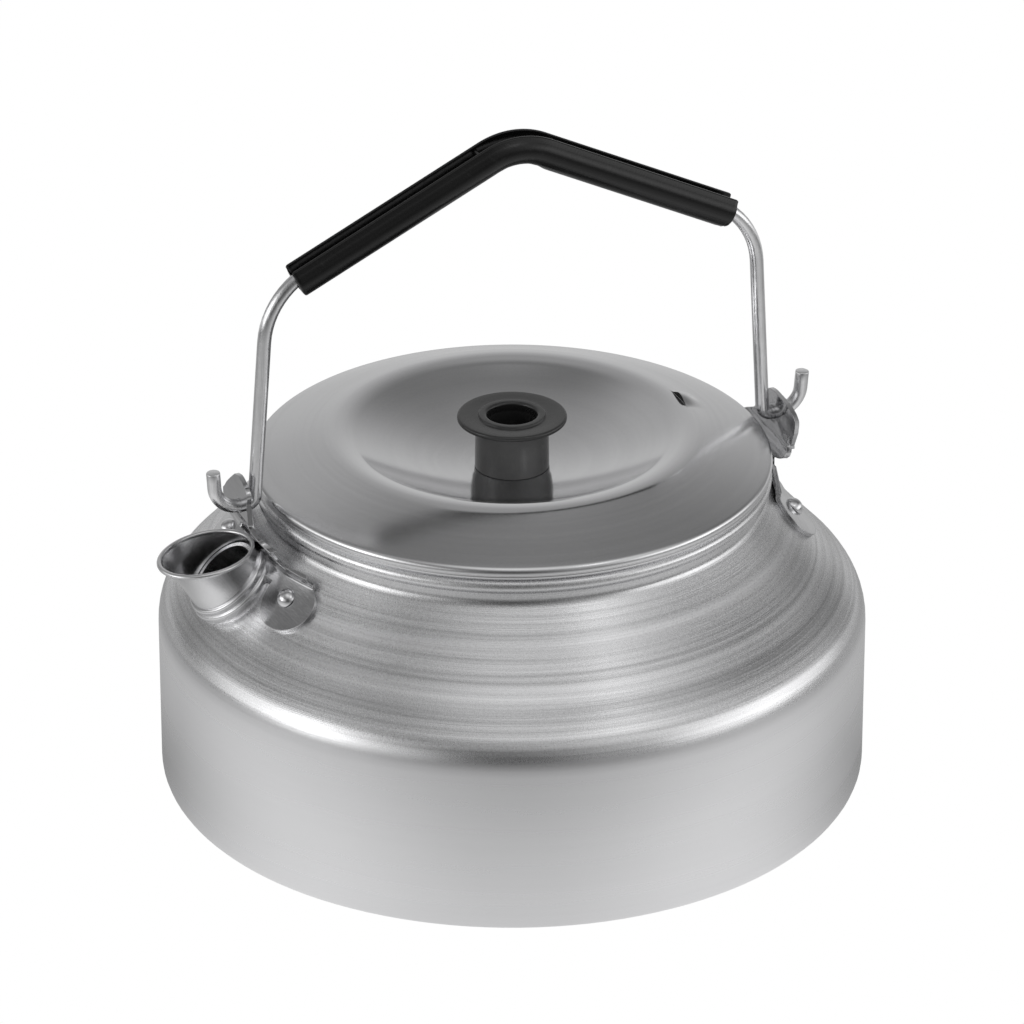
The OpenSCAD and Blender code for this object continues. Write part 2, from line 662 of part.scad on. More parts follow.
// Knob: a hollow spool with a thin flange, a stepped ring round its bore and a thick floor
knob_top_r = knob_stem_r - knob_taper;
flange_z = knob_h - 0.3;
ring_r = knob_bore_r + 2;
knob_line = concat(
    [[knob_rivet_r + shank_gap, 0], [knob_stem_r, 0]],
    arc([knob_top_r + 0.8, flange_z - knob_edge_h - 1.5], 0.8, 180, 100, 4),
    arc([knob_flange_r - 0.5, flange_z - knob_edge_h + 0.2], 0.5, -70, 0, 3),
    arc([knob_flange_r - 0.8, flange_z - 0.8], 0.8, 0, 85, 4),
    [[ring_r + 0.2, flange_z], [ring_r, knob_h]],
    arc([knob_bore_r + 0.9, knob_h - 0.9], 0.9, 90, 180, 4),
    [[knob_bore_r, knob_floor], [knob_rivet_r + shank_gap, knob_floor]]);

module lid_knob() {
    color([0.13, 0.13, 0.14]) translate([0, 0, bowl_z]) rotate_extrude() polygon(knob_line);
}

module knob_washer() {
    color([0.7, 0.7, 0.71]) translate([0, 0, bowl_z + knob_floor]) difference() {
        cylinder(r = washer_r, h = washer_t);
        translate([0, 0, -1]) cylinder(r = knob_rivet_r + shank_gap, h = washer_t + 2);
    }
}

// Rivet through lid, knob floor and washer, with a dome on each end
module knob_rivet() {
    head_r = knob_rivet_r * 1.8;
    head_h = 1.7;
    ball_r = (pow(head_r, 2) + pow(head_h, 2)) / (2 * head_h);
    top = knob_floor + washer_t;
    color([0.75, 0.75, 0.76]) translate([0, 0, bowl_z]) {
        translate([0, 0, top]) intersection() {
            translate([0, 0, head_h - ball_r]) sphere(r = ball_r);
            cylinder(r = head_r, h = head_h);
        }
        translate([0, 0, -lid_wall]) cylinder(r = knob_rivet_r, h = lid_wall + top + 0.3);
        translate([0, 0, -lid_wall - 1]) cylinder(r = head_r, h = 1);
    }
}

body_shell();
spout();
front_bracket();
rear_bracket();
front_rivet_left();
front_rivet_right();
rear_rivet_left();
rear_rivet_right();
bail_wire();
bail_grip();
lid();
lid_knob();
knob_rivet();
knob_washer();
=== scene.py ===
import math

import bmesh
import bpy
import numpy as np
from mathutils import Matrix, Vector


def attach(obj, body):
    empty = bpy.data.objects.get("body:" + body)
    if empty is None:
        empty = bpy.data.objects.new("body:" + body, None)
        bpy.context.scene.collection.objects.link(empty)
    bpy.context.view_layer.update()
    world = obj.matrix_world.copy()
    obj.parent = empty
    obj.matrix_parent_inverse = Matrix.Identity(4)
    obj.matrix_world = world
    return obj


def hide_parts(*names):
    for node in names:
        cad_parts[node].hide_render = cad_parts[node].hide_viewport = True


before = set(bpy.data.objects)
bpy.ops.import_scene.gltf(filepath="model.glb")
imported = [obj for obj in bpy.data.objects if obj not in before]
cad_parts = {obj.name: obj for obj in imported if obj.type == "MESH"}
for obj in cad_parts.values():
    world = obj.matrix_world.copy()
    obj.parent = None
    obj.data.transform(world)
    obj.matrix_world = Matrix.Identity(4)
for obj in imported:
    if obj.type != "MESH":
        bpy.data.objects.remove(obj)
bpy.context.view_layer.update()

# Studio: a white floor, one small soft lamp high in front, the dim room that the metal mirrors and
# the camera that the kettle was seen with. None of it belongs to the kettle.
scene = bpy.context.scene
scene.view_settings.view_transform = "Standard"


def grey(tone):
    """A colour of one tone."""
    return (tone, tone, tone, 1.0)


class Link:
    """A shader socket that sums can be written with; each operator adds one Math node."""

    def __init__(self, paint, socket):
        self.paint, self.socket = paint, socket

    def work_out(self, operation, *values):
        return self.paint.node("ShaderNodeMath", {"operation": operation}, *values)[0]

    def __add__(self, other):
        return self.work_out("ADD", self, other)

    def __mul__(self, other):
        return self.work_out("MULTIPLY", self, other)

    def __sub__(self, other):
        return self.work_out("SUBTRACT", self, other)

    def __rsub__(self, other):
        return self.work_out("SUBTRACT", other, self)

    def __truediv__(self, other):
        return self.work_out("DIVIDE", self, other)

    def __pow__(self, other):
        return self.work_out("POWER", self, other)

    __radd__ = __add__
    __rmul__ = __mul__

    def clamp(self, low=0.0, high=1.0):
        return self.work_out("MINIMUM", self.work_out("MAXIMUM", self, low), high)


class Paint:
    """One material, or the world; the method node makes its nodes and links them."""

    def __init__(self, name, owner=None):
        self.data = owner or bpy.data.materials.new(name)
        self.data.use_nodes = True
        self.tree = self.data.node_tree
        self.tree.nodes.clear()

    def node(self, kind, settings, *values, **named):
        """Adds a node with its settings, then its inputs in order and by name; gives its outputs as Links."""
        made = self.tree.nodes.new(kind)
        for key, value in settings.items():
            if key == "stops":
                ramp = made.color_ramp
                while len(ramp.elements) < len(value):
                    ramp.elements.new(0.5)
                for element, (place, tone) in zip(ramp.elements, value):
                    element.position, element.color = place, grey(tone)
            else:
                setattr(made, key, value)
        by_name = [(name.replace("_", " "), value) for name, value in named.items()]
        for key, value in [*enumerate(values), *by_name]:
            if isinstance(value, Link):
                self.tree.links.new(value.socket, made.inputs[key])
            else:
                made.inputs[key].default_value = value
        return [Link(self, socket) for socket in made.outputs]

    def finish(self, shader):
        """Joins the shader to the output and gives the material or the world."""
        is_world = isinstance(self.data, bpy.types.World)
        self.node("ShaderNodeOutputWorld" if is_world else "ShaderNodeOutputMaterial", {}, shader)
        return self.data


camera_bearing = -112.0


def toward(bearing, height):
    """Unit vector at a bearing, in degrees from the camera's side to its right, and a height above level."""
    bearing, height = math.radians(bearing + camera_bearing), math.radians(height)
    return (math.cos(height) * math.cos(bearing), math.cos(height) * math.sin(bearing), math.sin(height))


# The world is what satin metal mirrors: a dim room, paler behind, with a long low box at each
# side and soft light above them and high in front. Each row is bearing, height, reach and strength.
air = Paint("air", bpy.data.worlds.new("air"))
scene.world = air.data
facing = air.node("ShaderNodeTexCoord", {})[0]
glow = 0.065
for bearing, height, reach, strength in (
    (180, 7, 40, 0.5),
    (180, 57, 11, 0.13),
    (180, 88, 11, 0.06),
    (-66, 11, 17, 2.3),
    (-96, 8, 15, 1.0),
    (62, 12, 14, 1.0),
    (88, 8, 17, 1.6),
    (113, 4, 12, 0.85),
    (-34, 10, 14, 0.5),
    (30, 10, 14, 0.2),
    (45, 40, 21, 0.5),
    (74, 48, 15, 0.32),
    (-78, 46, 15, 0.22),
    (-135, 38, 21, 0.2),
    (-6, 66, 24, 0.72),
    (112, 62, 20, 0.08),
):
    aim = air.node("ShaderNodeVectorMath", {"operation": "DOT_PRODUCT"}, facing, toward(bearing, height))[1]
    fade = (aim - 1.0) * (1.0 / (1.0 - math.cos(math.radians(reach))))
    glow = air.node("ShaderNodeMath", {"operation": "EXPONENT"}, fade)[0] * strength + glow
to_camera = air.node("ShaderNodeLightPath", {})[0]
air.finish(air.node("ShaderNodeBackground", {}, glow + (1.0 - glow) * to_camera, 1.0)[0])

# The floor is white to the camera. To reflections it shows a painted glow, an emission and not light:
# metal mirrors it bright beside the kettle and dim further off, brighter again far behind. In front and
# to the sides it is brighter than straight behind, and close beside the wall a painted shade makes it dimmer.
floor_paint = Paint("white_sweep")
x, y = floor_paint.node("ShaderNodeSeparateXYZ", {}, floor_paint.node("ShaderNodeTexCoord", {})[3])[:2]
from_kettle = (x * x + y * y) ** 0.5
fall_off = floor_paint.node(
    "ShaderNodeValToRGB",
    {"stops": [(0.0, 0.70), (0.10, 0.67), (0.19, 0.44), (0.32, 0.33), (0.60, 0.2), (1.0, 0.15)]},
    from_kettle,
)[0]
view_x, view_y = 0.375, 0.927
back = x * view_x + y * view_y
right = x * view_y - y * view_x
backward = back / from_kettle
sideways = right * right / from_kettle / from_kettle
in_front = (backward * -1.0).clamp()
# Painted shade: the glow that reflections see is dimmed close beside the wall.
painted_shade_beside_wall = ((0.145 - from_kettle) * 20.0).clamp()
turned_to = 1.0 + sideways * (in_front * 0.85 + 0.1) - backward.clamp() * 0.4
turned_to = turned_to * (1.0 - sideways * sideways * painted_shade_beside_wall * 0.6)
far_behind = ((back - 0.12) * 1.6).clamp(0.0, 0.45)
ray = floor_paint.node("ShaderNodeLightPath", {})
matt = floor_paint.node("ShaderNodeBsdfDiffuse", {}, grey(0.82), 0.5)[0]
white = floor_paint.node("ShaderNodeEmission", {}, grey(1.0), 1.0)[0]
# Painted glow: an emission that only reflections see, standing in for light on the floor.
painted_glow_for_reflections = floor_paint.node("ShaderNodeEmission", {}, fall_off * turned_to + far_behind, 1.0)[0]
shown = floor_paint.node("ShaderNodeMixShader", {}, ray[0], matt, white)[0]
shown = floor_paint.node("ShaderNodeMixShader", {}, ray[3], shown, painted_glow_for_reflections)[0]
floor_paint.finish(shown)


def grid_faces(rows, columns, around):
    """Corner numbers of the quads of a rows by columns grid; around joins its last column to its first."""
    row = np.arange(rows - 1)[:, None] * columns
    here = np.arange(columns if around else columns - 1)[None, :]
    there = (here + 1) % columns
    return np.stack([row + here, row + there, row + columns + there, row + columns + here], -1).reshape(-1, 4)


def put_mesh(name, points, faces, slots=None):
    """Smooth mesh at the origin from points in metres; equal points are merged, so poles and seams close."""
    mesh = bpy.data.meshes.new(name)
    mesh.from_pydata(points.reshape(-1, 3).tolist(), [], [list(f) for f in faces])
    mesh.polygons.foreach_set("use_smooth", np.ones(len(mesh.polygons), bool))
    if slots is not None:
        mesh.polygons.foreach_set("material_index", slots)
    shape = bmesh.new()
    shape.from_mesh(mesh)
    bmesh.ops.remove_doubles(shape, verts=shape.verts, dist=2e-7)
    shape.to_mesh(mesh)
    shape.free()
    made = bpy.data.objects.new(name, mesh)
    scene.collection.objects.link(made)
    return made


# The floor lies just under the kettle's base.
floor_half, floor_z = 2.0, -0.0002
along = np.linspace(-floor_half, floor_half, 9)[:, None]
across = along.T
sweep = put_mesh("floor", np.stack(np.broadcast_arrays(across, along, floor_z), -1), grid_faces(9, 9, False))
sweep.data.materials.append(floor_paint.data)


def aim_at(thing, point):
    """Turns a lamp or camera so that its -Z axis meets the point."""
    thing.rotation_mode = "QUATERNION"
    thing.rotation_quaternion = (thing.location - Vector(point)).to_track_quat("Z", "Y")


key_box = bpy.data.objects.new("key_box", bpy.data.lights.new("key_box", "AREA"))
key_box.data.size, key_box.data.energy = 0.22, 0.13
key_box.location = (0.28, -0.77, 0.94)
aim_at(key_box, (0, 0, 0.06))
scene.collection.objects.link(key_box)

camera = bpy.data.objects.new("camera", bpy.data.cameras.new("camera"))
scene.collection.objects.link(camera)
scene.camera = camera
turn, tilt, distance, middle = math.radians(-22.0), math.radians(26.2), 1.67, 0.072
camera.location = (
    distance * math.sin(turn) * math.cos(tilt),
    -distance * math.cos(turn) * math.cos(tilt),
    distance * math.sin(tilt) + middle,
)
aim_at(camera, (0, 0, middle))
focal_px, picture_px, film_mm = 6600, 1024, 36
camera.data.lens = focal_px * film_mm / picture_px
camera.data.clip_start, camera.data.clip_end = 0.05, 20.0

# Body: soft aluminium, spun over a form, with a rolled lip at its neck. The wall is left smooth;
# the shoulder keeps the rings of the tool and a blasted grain. Sizes are in millimetres, as in the CAD.
mm = 0.001
neck_r, wall_r, wall_top = 63.8, 90.0, 44.0
lip_z = 85.284


def noise(paint, at, scale, detail, rough):
    """Noise about 0.5 over the coordinates at."""
    return paint.node("ShaderNodeTexNoise", {}, Vector=at, Scale=scale, Detail=detail, Roughness=rough)[0]


def grey_surface(paint, tone, blue, roughness, **more):
    """Finishes a paint as a surface in a grey tone, its blue part times blue; more are further sockets."""
    color = paint.node("ShaderNodeCombineColor", {}, tone, tone, tone * blue)[0]
    shader = paint.node("ShaderNodeBsdfPrincipled", {}, Base_Color=color, Roughness=roughness, **more)[0]
    return paint.finish(shader)


def spun_metal(name, base, rough, ring_depth, grain_depth, shoulder_from=None, rim_from=None):
    """Satin metal with rings about Z: noise on (cos, sin, height less radius) runs round the piece.

    Above the height shoulder_from the rings and the blasted grain are at full depth, below it faint.
    Beyond the radius rim_from the metal is rougher. Both are in metres."""
    p = Paint(name)
    at = p.node("ShaderNodeTexCoord", {})[3]
    x, y, z = p.node("ShaderNodeSeparateXYZ", {}, at)
    r = (x * x + y * y) ** 0.5 + 1e-4
    s = z - r
    rings = []
    for turns, fine, detail in ((0.35, 430.0, 5.0), (1.3, 3000.0, 2.0), (0.2, 95.0, 3.0), (0.3, 620.0, 1.0)):
        place = p.node("ShaderNodeCombineXYZ", {}, x / r * turns, y / r * turns, s * fine)[0]
        rings.append(noise(p, place, 1.0, detail, 0.62))
    wide, thin, slow, cut = rings
    grain = noise(p, at, 2300.0, 3.0, 0.75)
    cloud = noise(p, at, 34.0, 4.0, 0.55)
    scored = ((cut - 0.56) * 7.0).clamp()
    worked = 1.0 if shoulder_from is None else ((z - shoulder_from) * 140.0).clamp(0.04, 1.0)
    ring_tone = (wide - 0.5) * 0.42 + (slow - 0.5) * 0.24 - scored * 0.045
    grain_tone = (grain - 0.5) * (worked * (0.55 * grain_depth))
    tone = (ring_tone * (worked * ring_depth) + grain_tone + (cloud - 0.5) * 0.07 + 1.0) * base
    roughness = (grain - 0.5) * (worked * (0.22 * grain_depth)) + (slow - 0.5) * (0.12 * ring_depth)
    roughness = roughness + (cloud - 0.5) * 0.05 + rough
    if rim_from is not None:
        roughness = roughness + ((r - rim_from) * 14.0).clamp(0.0, 0.09)
    relief = (thin * 0.35 + wide * 0.5) * worked * ring_depth + grain * worked * (0.8 * grain_depth)
    normal = p.node("ShaderNodeBump", {}, Strength=0.16, Distance=0.0002, Height=relief)[0]
    return grey_surface(p, tone, 1.012, roughness.clamp(0.08, 0.9), Metallic=1.0, Normal=normal)


def arc(centre, radius, start, stop, count=8):
    """Points of an arc about a centre, between two angles in degrees."""
    a = np.radians(np.linspace(start, stop, count + 1))
    return np.stack([centre[0] + radius * np.cos(a), centre[1] + radius * np.sin(a)], -1)


def ease(low, high, value):
    """Smooth step from 0 at low to 1 at high."""
    t = np.clip((value - low) / (high - low), 0, 1)
    return t * t * (3 - 2 * t)


# The shoulder is drawn fuller than the cut solid: a wider bend, a slope that steepens from 45 to
# 51 degrees and a tight curve into the neck. Both outlines run from the wall to the neck.
slope_low, slope_high = 45, 51
cut_bend, cut_hollow, cut_hollow_z = 11.0, 9.0, 78.484
full_bend, full_hollow = 14.0, 3.0
cut_outline = np.concatenate([
    arc((wall_r - cut_bend, wall_top), cut_bend, 0, slope_low, 24),
    arc((neck_r + cut_hollow, cut_hollow_z), cut_hollow, 180 + slope_low, 180, 24),
])
slopes = np.radians(np.linspace(slope_low, slope_high, 13))
hollow_from = full_hollow * (1 - math.sin(slopes[-1]))
full_bow = arc((wall_r - full_bend, wall_top), full_bend, 0, slope_low, 24)
slope_r = np.linspace(full_bow[-1, 0], neck_r + hollow_from, 13)
climb = np.concatenate([[0], np.cumsum(-np.diff(slope_r) * np.tan((slopes[1:] + slopes[:-1]) / 2))])
slope_z = full_bow[-1, 1] + climb
full_outline = np.concatenate([
    full_bow,
    np.stack([slope_r, slope_z], -1)[1:],
    arc((neck_r + full_hollow, slope_z[-1] + full_hollow * math.cos(slopes[-1])), full_hollow,
        270 - slope_high, 180, 16),
])


def lift(r):
    """Height of the fuller shoulder over the cut one at the radius r."""
    r = np.clip(r, neck_r, wall_r)
    full, cut = (np.interp(r, line[::-1, 0], line[::-1, 1]) for line in (full_outline, cut_outline))
    return full - cut


# On the cut slope radius and height add up to shoulder_sum. Round the pouring hole the lift is
# even as far as spout_even from the spout's axis.
shoulder_sum = 138.556
spout_at_r, spout_lean = neck_r + 10.7, math.radians(49)
spout_foot = np.array([-spout_at_r, 0, shoulder_sum - spout_at_r])
spout_lift = float(lift(spout_at_r))
spout_even, spout_loose = 9.6, 14.5
shoulder_r, neck_band_z, half_wall, inside_shift = 60.0, 79.3, 0.5, 0.75


def fill_out(points):
    """z + lift(r) on the shoulder, one even lift round the pouring hole, none on the base, wall and lip.

    The inside of the wall takes the lift of the skin that lies inside_shift further out."""
    r, z = np.hypot(points[:, 0], points[:, 1]), points[:, 2]
    skin = np.interp(r, cut_outline[::-1, 0], cut_outline[::-1, 1])
    inner = (z < skin - half_wall) | (r < neck_r - half_wall)
    up = lift(np.where(inner, r + inside_shift, r))
    axis = np.array([-math.cos(spout_lean), 0, math.sin(spout_lean)])
    off = points - spout_foot
    far = np.linalg.norm(off - (off @ axis)[:, None] * axis, axis=1)
    up = spout_lift + (up - spout_lift) * np.where(points[:, 0] < 0, ease(spout_even, spout_loose, far), 1.0)
    raised = (r > shoulder_r) & (z > wall_top + 0.01) & (z < neck_band_z)
    return points + np.stack([0 * r, 0 * r, up * raised], -1)


def reshaped(node_name, change, paint):
    """Merged copy of a CAD node in its place, its points in millimetres moved by change(points)."""
    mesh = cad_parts[node_name].data.copy()
    mesh.attributes.remove(mesh.attributes["custom_normal"])
    shape = bmesh.new()
    shape.from_mesh(mesh)
    bmesh.ops.remove_doubles(shape, verts=shape.verts, dist=1e-6)
    shape.to_mesh(mesh)
    shape.free()
    points = np.empty(len(mesh.vertices) * 3)
    mesh.vertices.foreach_get("co", points)
    mesh.vertices.foreach_set("co", (change(points.reshape(-1, 3) / mm) * mm).ravel())
    mesh.polygons.foreach_set("use_smooth", np.ones(len(mesh.polygons), bool))
    mesh.set_sharp_from_angle(angle=math.radians(34))
    mesh.materials.clear()
    mesh.materials.append(paint)
    made = bpy.data.objects.new(node_name + "_drawn", mesh)
    scene.collection.objects.link(made)
    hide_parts(node_name)
    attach(made, "kettle")
    return made


body_paint = spun_metal("spun_body", 0.80, 0.28, ring_depth=2.4, grain_depth=1.25, shoulder_from=0.045)
reshaped("body_shell", fill_out, body_paint)

# Lid: spun sheet with a crown that falls to a rolled rim, a crest round a deep bowl, a skirt in
# the neck and a louvre for the steam, raised behind a cut along the crest.
lid_paint = spun_metal("spun_lid", 0.79, 0.12, ring_depth=0.3, grain_depth=0.25, rim_from=0.046)
lid_edge = 65.7
seat_z = lip_z + 0.15
rim_r, hem_r, rim_up = 1.7, 0.85, 1.85
slope_out, slope_in = 24.3, 17.0
crest_r, crest_bend, bowl_depth, bowl_flat = 45.0, 4.0, 11.2, 10.4
skirt_r, skirt_low, lid_wall = neck_r - 1.4, seat_z - 6.5, 1.0
vent_at, vent_half, vent_long, vent_up = 45.9, 5.5, 6.0, 1.45
soft_bend, soft_shift = 11.0, 2.2


def unit(v):
    """The vector v at the length 1."""
    return v / np.linalg.norm(v)


def leaned(degrees):
    """Unit vector (r, z) that leans outward from upright: the sine and the cosine."""
    return np.array([math.sin(math.radians(degrees)), math.cos(math.radians(degrees))])


def bent_path(corners, radii, step=1.0, fine=0.14):
    """Points along straight runs joined by true arcs; at each corner the arc of its radius touches both runs.

    Runs are cut every step and arcs every fine radians."""
    corners = np.asarray(corners, float)
    parts, at = [], corners[0]
    for before, corner, after, radius in zip(corners, corners[1:], corners[2:], radii):
        a, b = unit(corner - before), unit(after - corner)
        turn = math.atan2(a[0] * b[1] - a[1] * b[0], a @ b)
        start = corner - a * radius * math.tan(abs(turn) / 2)
        centre = start + math.copysign(radius, turn) * np.array([-a[1], a[0]])
        spoke = start - centre
        angle = np.linspace(0, turn, max(3, int(abs(turn) / fine)) + 1)[:, None]
        bend = centre + np.cos(angle) * spoke + np.sin(angle) * np.array([-spoke[1], spoke[0]])
        count = max(1, int(np.linalg.norm(start - at) / step))
        parts += [at + (start - at) * (np.arange(count) / count)[:, None], bend[:-1]]
        at = bend[-1]
    count = max(1, int(np.linalg.norm(corners[-1] - at) / step))
    parts.append(at + (corners[-1] - at) * np.linspace(0, 1, count + 1)[:, None])
    return np.concatenate(parts)


def turned(profile, angles):
    """Surface of revolution about Z: each (r, z) of the profile at each angle, metal on its left."""
    r, z = profile[:, 0:1], profile[:, 1:2]
    return np.stack([r * np.cos(angles), r * np.sin(angles), z + 0 * angles], -1)


def sides(points, closed=True):
    """Quads of a grid of points that goes round along its second axis and, if closed, along its first."""
    rows, columns = points.shape[:2]
    quads = grid_faces(rows, columns, True)
    if closed:
        last = np.arange(columns) + (rows - 1) * columns
        first = np.arange(columns)
        quads = np.concatenate([quads, np.stack([last, np.roll(last, -1), np.roll(first, -1), first], -1)])
    return quads


# The crown is one arc that touches the rim's. The crest is drawn softer than the cut solid: its
# bend is soft_bend wide and touches the crown and the bowl.
rim_c = np.array([lid_edge - rim_r, seat_z + rim_up])
crown_start = crest_r + crest_bend * leaned(slope_in)[0]
crown_rise = leaned(slope_out)[0] - leaned(slope_in)[0]
crown_r = (rim_c[0] - crown_start + rim_r * leaned(slope_out)[0]) / crown_rise
crown_c = rim_c - (crown_r - rim_r) * leaned(slope_out)
bowl_low = crown_c[1] + (crown_r - crest_bend) * leaned(slope_in)[1] + crest_bend - bowl_depth
soft_in = math.degrees(math.asin((crown_start + soft_shift - crown_c[0]) / crown_r))
crest_c = crown_c + (crown_r - soft_bend) * leaned(soft_in)
drop = crest_c[1] - bowl_low
bowl_r = (crest_c[0] ** 2 + drop**2 - soft_bend**2) / (2 * (drop + soft_bend))
bowl_c = np.array([0.0, bowl_low + bowl_r])
bowl_edge = math.degrees(math.atan2(crest_c[0], bowl_c[1] - crest_c[1]))
flat_edge = math.degrees(math.asin(bowl_flat / bowl_r))
bowl_z = bowl_c[1] - bowl_r * leaned(flat_edge)[1]

under_r = np.linspace(crown_start + soft_shift, skirt_r - lid_wall, 14)[1:]
under_z = crown_c[1] + np.sqrt(crown_r**2 - (under_r - crown_c[0]) ** 2) - lid_wall
under = np.concatenate([
    bent_path([(0.0, bowl_z - lid_wall), (bowl_flat, bowl_z - lid_wall)], [], 2.0),
    arc(bowl_c, bowl_r + lid_wall, -90 + flat_edge, -90 + bowl_edge, 24)[1:],
    arc(crest_c, soft_bend - lid_wall, 90 + bowl_edge, 90 - soft_in, 16)[1:],
    np.stack([under_r, under_z], -1),
])
hem_c = np.array([lid_edge - hem_r - 0.1, seat_z + hem_r])
skirt = bent_path(
    [(skirt_r - lid_wall, seat_z - 1), (skirt_r - lid_wall, skirt_low), (skirt_r, skirt_low),
     (skirt_r, seat_z), (hem_c[0], seat_z)],
    [0.4, 0.4, 0.3], 1.0)
rim = np.concatenate([arc(hem_c, hem_r, -90, 28, 10)[1:], arc(rim_c, rim_r, -16, 90 - slope_out, 12)])
top = np.concatenate([
    arc(crown_c, crown_r, 90 - slope_out, 90 - soft_in, 18)[1:],
    arc(crest_c, soft_bend, 90 - soft_in, 90 + bowl_edge, 36)[1:],
])
bowl = arc(bowl_c, bowl_r, -90 + bowl_edge, -90 + flat_edge, 40)[1:]

# The vent: the sheet outside the cut has rows set close and rises by a cosine squared to each side
# and another outward. The step that this leaves along the cut is painted near black, as painted shade for the
# open slit.
vent_rows_r = vent_at + np.linspace(vent_long, 0, 16)
vent_rows = np.stack([vent_rows_r, np.interp(vent_rows_r, top[::-1, 0], top[::-1, 1])], -1)
outer = np.concatenate([top[top[:, 0] > vent_at + vent_long], vent_rows])
inner = np.concatenate([vent_rows[-1:], top[top[:, 0] <= vent_at]])
lid_profile = np.concatenate([under, skirt, rim, outer, inner, bowl, [[0.0, bowl_z]]])
hood_from = len(under) + len(skirt)
hood_to = hood_from + len(rim) + len(outer)

near_vent = np.radians(np.linspace(-8, 8, 57))
angles = np.concatenate([near_vent, np.radians(np.linspace(8, 352, 296))[1:-1]])[None, :]
lid_points = turned(lid_profile, angles)
away = (np.arctan2(np.sin(angles), np.cos(angles)) * vent_at / vent_half).clip(-1, 1)
past = ((lid_profile[:, 0:1] - vent_at) / vent_long).clip(0, 1)
hood = vent_up * np.cos(away * math.pi / 2) ** 2 * np.cos(past * math.pi / 2) ** 2
lid_points[hood_from:hood_to, :, 2] += hood[hood_from:hood_to]
lid_faces = sides(lid_points, closed=False)
in_slit = np.arange(len(lid_faces)) // lid_points.shape[1] == hood_to - 1
lid = put_mesh("spun_lid", lid_points * mm, lid_faces, in_slit.astype(int))
# Painted shade: the step faces of the cut are nearly black, standing in for the dark inside the open slit.
slit_shade_paint = Paint("vent_slit_painted_shade")
painted_slit_shade = noise(slit_shade_paint, slit_shade_paint.node("ShaderNodeTexCoord", {})[3], 6900.0, 2.0, 0.5) * 0.01 + 0.004
lid.data.materials.append(lid_paint)
lid.data.materials.append(grey_surface(slit_shade_paint, painted_slit_shade, 1.0, 0.8))
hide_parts("lid")
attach(lid, "lid_set")


# Knob: one black moulding, a hollow spool with a thin flange and a raised ring round its bore. It
# stands in the bowl, held by a rivet and a washer at the bottom of the bore.
def moulded(name, base, rough, scratch=0.0, hollow_r=None, painted_light_stem_top=None):
    """Black plastic: a fine grain in the gloss, faint clouds, and pale rubbed flecks as strong as scratch.

    Within hollow_r of the middle it is darkened as painted shade in the bore; beyond it, below the
    given top height, it is made paler as painted light. Both are in metres."""
    p = Paint(name)
    at = p.node("ShaderNodeTexCoord", {})[3]
    grain = noise(p, at, 1800.0, 2.0, 0.6)
    cloud = noise(p, at, 70.0, 5.0, 0.65)
    rubbed = ((noise(p, at, 420.0, 3.0, 0.7) - 0.62) * 8.0).clamp() * scratch
    tone = (cloud - 0.5) * (base * 0.7) + rubbed + base
    if hollow_r is not None:
        x, y, z = p.node("ShaderNodeSeparateXYZ", {}, at)
        # Painted shade: inside the bore the tone falls to 4 percent.
        tone = tone * (((x * x + y * y) ** 0.5 - hollow_r) * 4000.0).clamp(0.04, 1.0)
        # Painted light: the stem below the flange is made up to 2.3 times paler.
        tone = tone * (((painted_light_stem_top - z) * 2000.0).clamp() * 1.3 + 1.0)
    roughness = (grain - 0.5) * 0.14 + (cloud - 0.5) * 0.16 + rubbed + rough
    normal = p.node("ShaderNodeBump", {}, Strength=0.12, Distance=0.0002, Height=grain + cloud * 0.8)[0]
    return grey_surface(p, tone, 1.0, roughness.clamp(0.08, 1.0), Normal=normal)


def round_angles(columns):
    """Angles of a full turn, one for each column."""
    return np.linspace(0, 2 * math.pi, columns, endpoint=False)[None, :]


flange_under = 12.2
knob_profile = bent_path(
    [(3.0, 0), (9.4, 0), (9.2, 11.9), (13.85, 12.75), (13.85, 14.0), (8.6, 13.75), (8.3, 14.3), (6.3, 14.3),
     (6.2, 3), (3.0, 3.0)],
    [0.25, 0.9, 0.45, 0.6, 0.25, 0.25, 0.8, 0.4], 1.2, 0.2)
knob_points = turned(knob_profile + [0.0, bowl_z], round_angles(128))
knob = put_mesh("spool_knob", knob_points * mm, sides(knob_points))
knob.data.materials.append(
    moulded("knob_black", 0.05, 0.22, hollow_r=0.0062, painted_light_stem_top=(bowl_z + flange_under) * mm))
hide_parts("lid_knob")
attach(knob, "lid_set")


# Spout: spun sheet, a foot ring of two beads on the shoulder and a tube that flares to an
# oblique mouth with a rolled lip.
def leaning_frame(lean):
    """X and Z axes of a frame whose Z points out over the spout, lean above level."""
    return np.array([math.sin(lean), 0, math.cos(lean)]), np.array([-math.cos(lean), 0, math.sin(lean)])


def set_in(points, origin, x_axis, z_axis):
    """Moves a grid of points from a piece's own frame to the kettle's, as a list."""
    return origin + points.reshape(-1, 3) @ np.stack([x_axis, np.cross(z_axis, x_axis), z_axis])


foot_x, foot_z = leaning_frame(spout_lean)
tube_x, tube_z = leaning_frame(math.radians(60))
foot_at = spout_foot + [0, 0, spout_lift]
ring_h, sleeve_r = 4.0, 9.4
ring_profile = bent_path(
    [(sleeve_r, 0), (12.3, 0), (12.3, 1.95), (11.55, 2.15), (11.8, ring_h), (10.4, 4.1), (sleeve_r, 3.6)],
    [0.05, 0.65, 0.15, 0.7, 0.3], 0.6, 0.25)
ring_points = turned(ring_profile, round_angles(128))
# The ring's underside is let into the shoulder, which falls away to each side by y squared over 211.
ring_low = 0.07 * ring_points[..., 0] - ring_points[..., 1] ** 2 / 211 - 1.2
ring_points[..., 2] = np.where(ring_points[..., 2] < 0.3, ring_low, ring_points[..., 2])

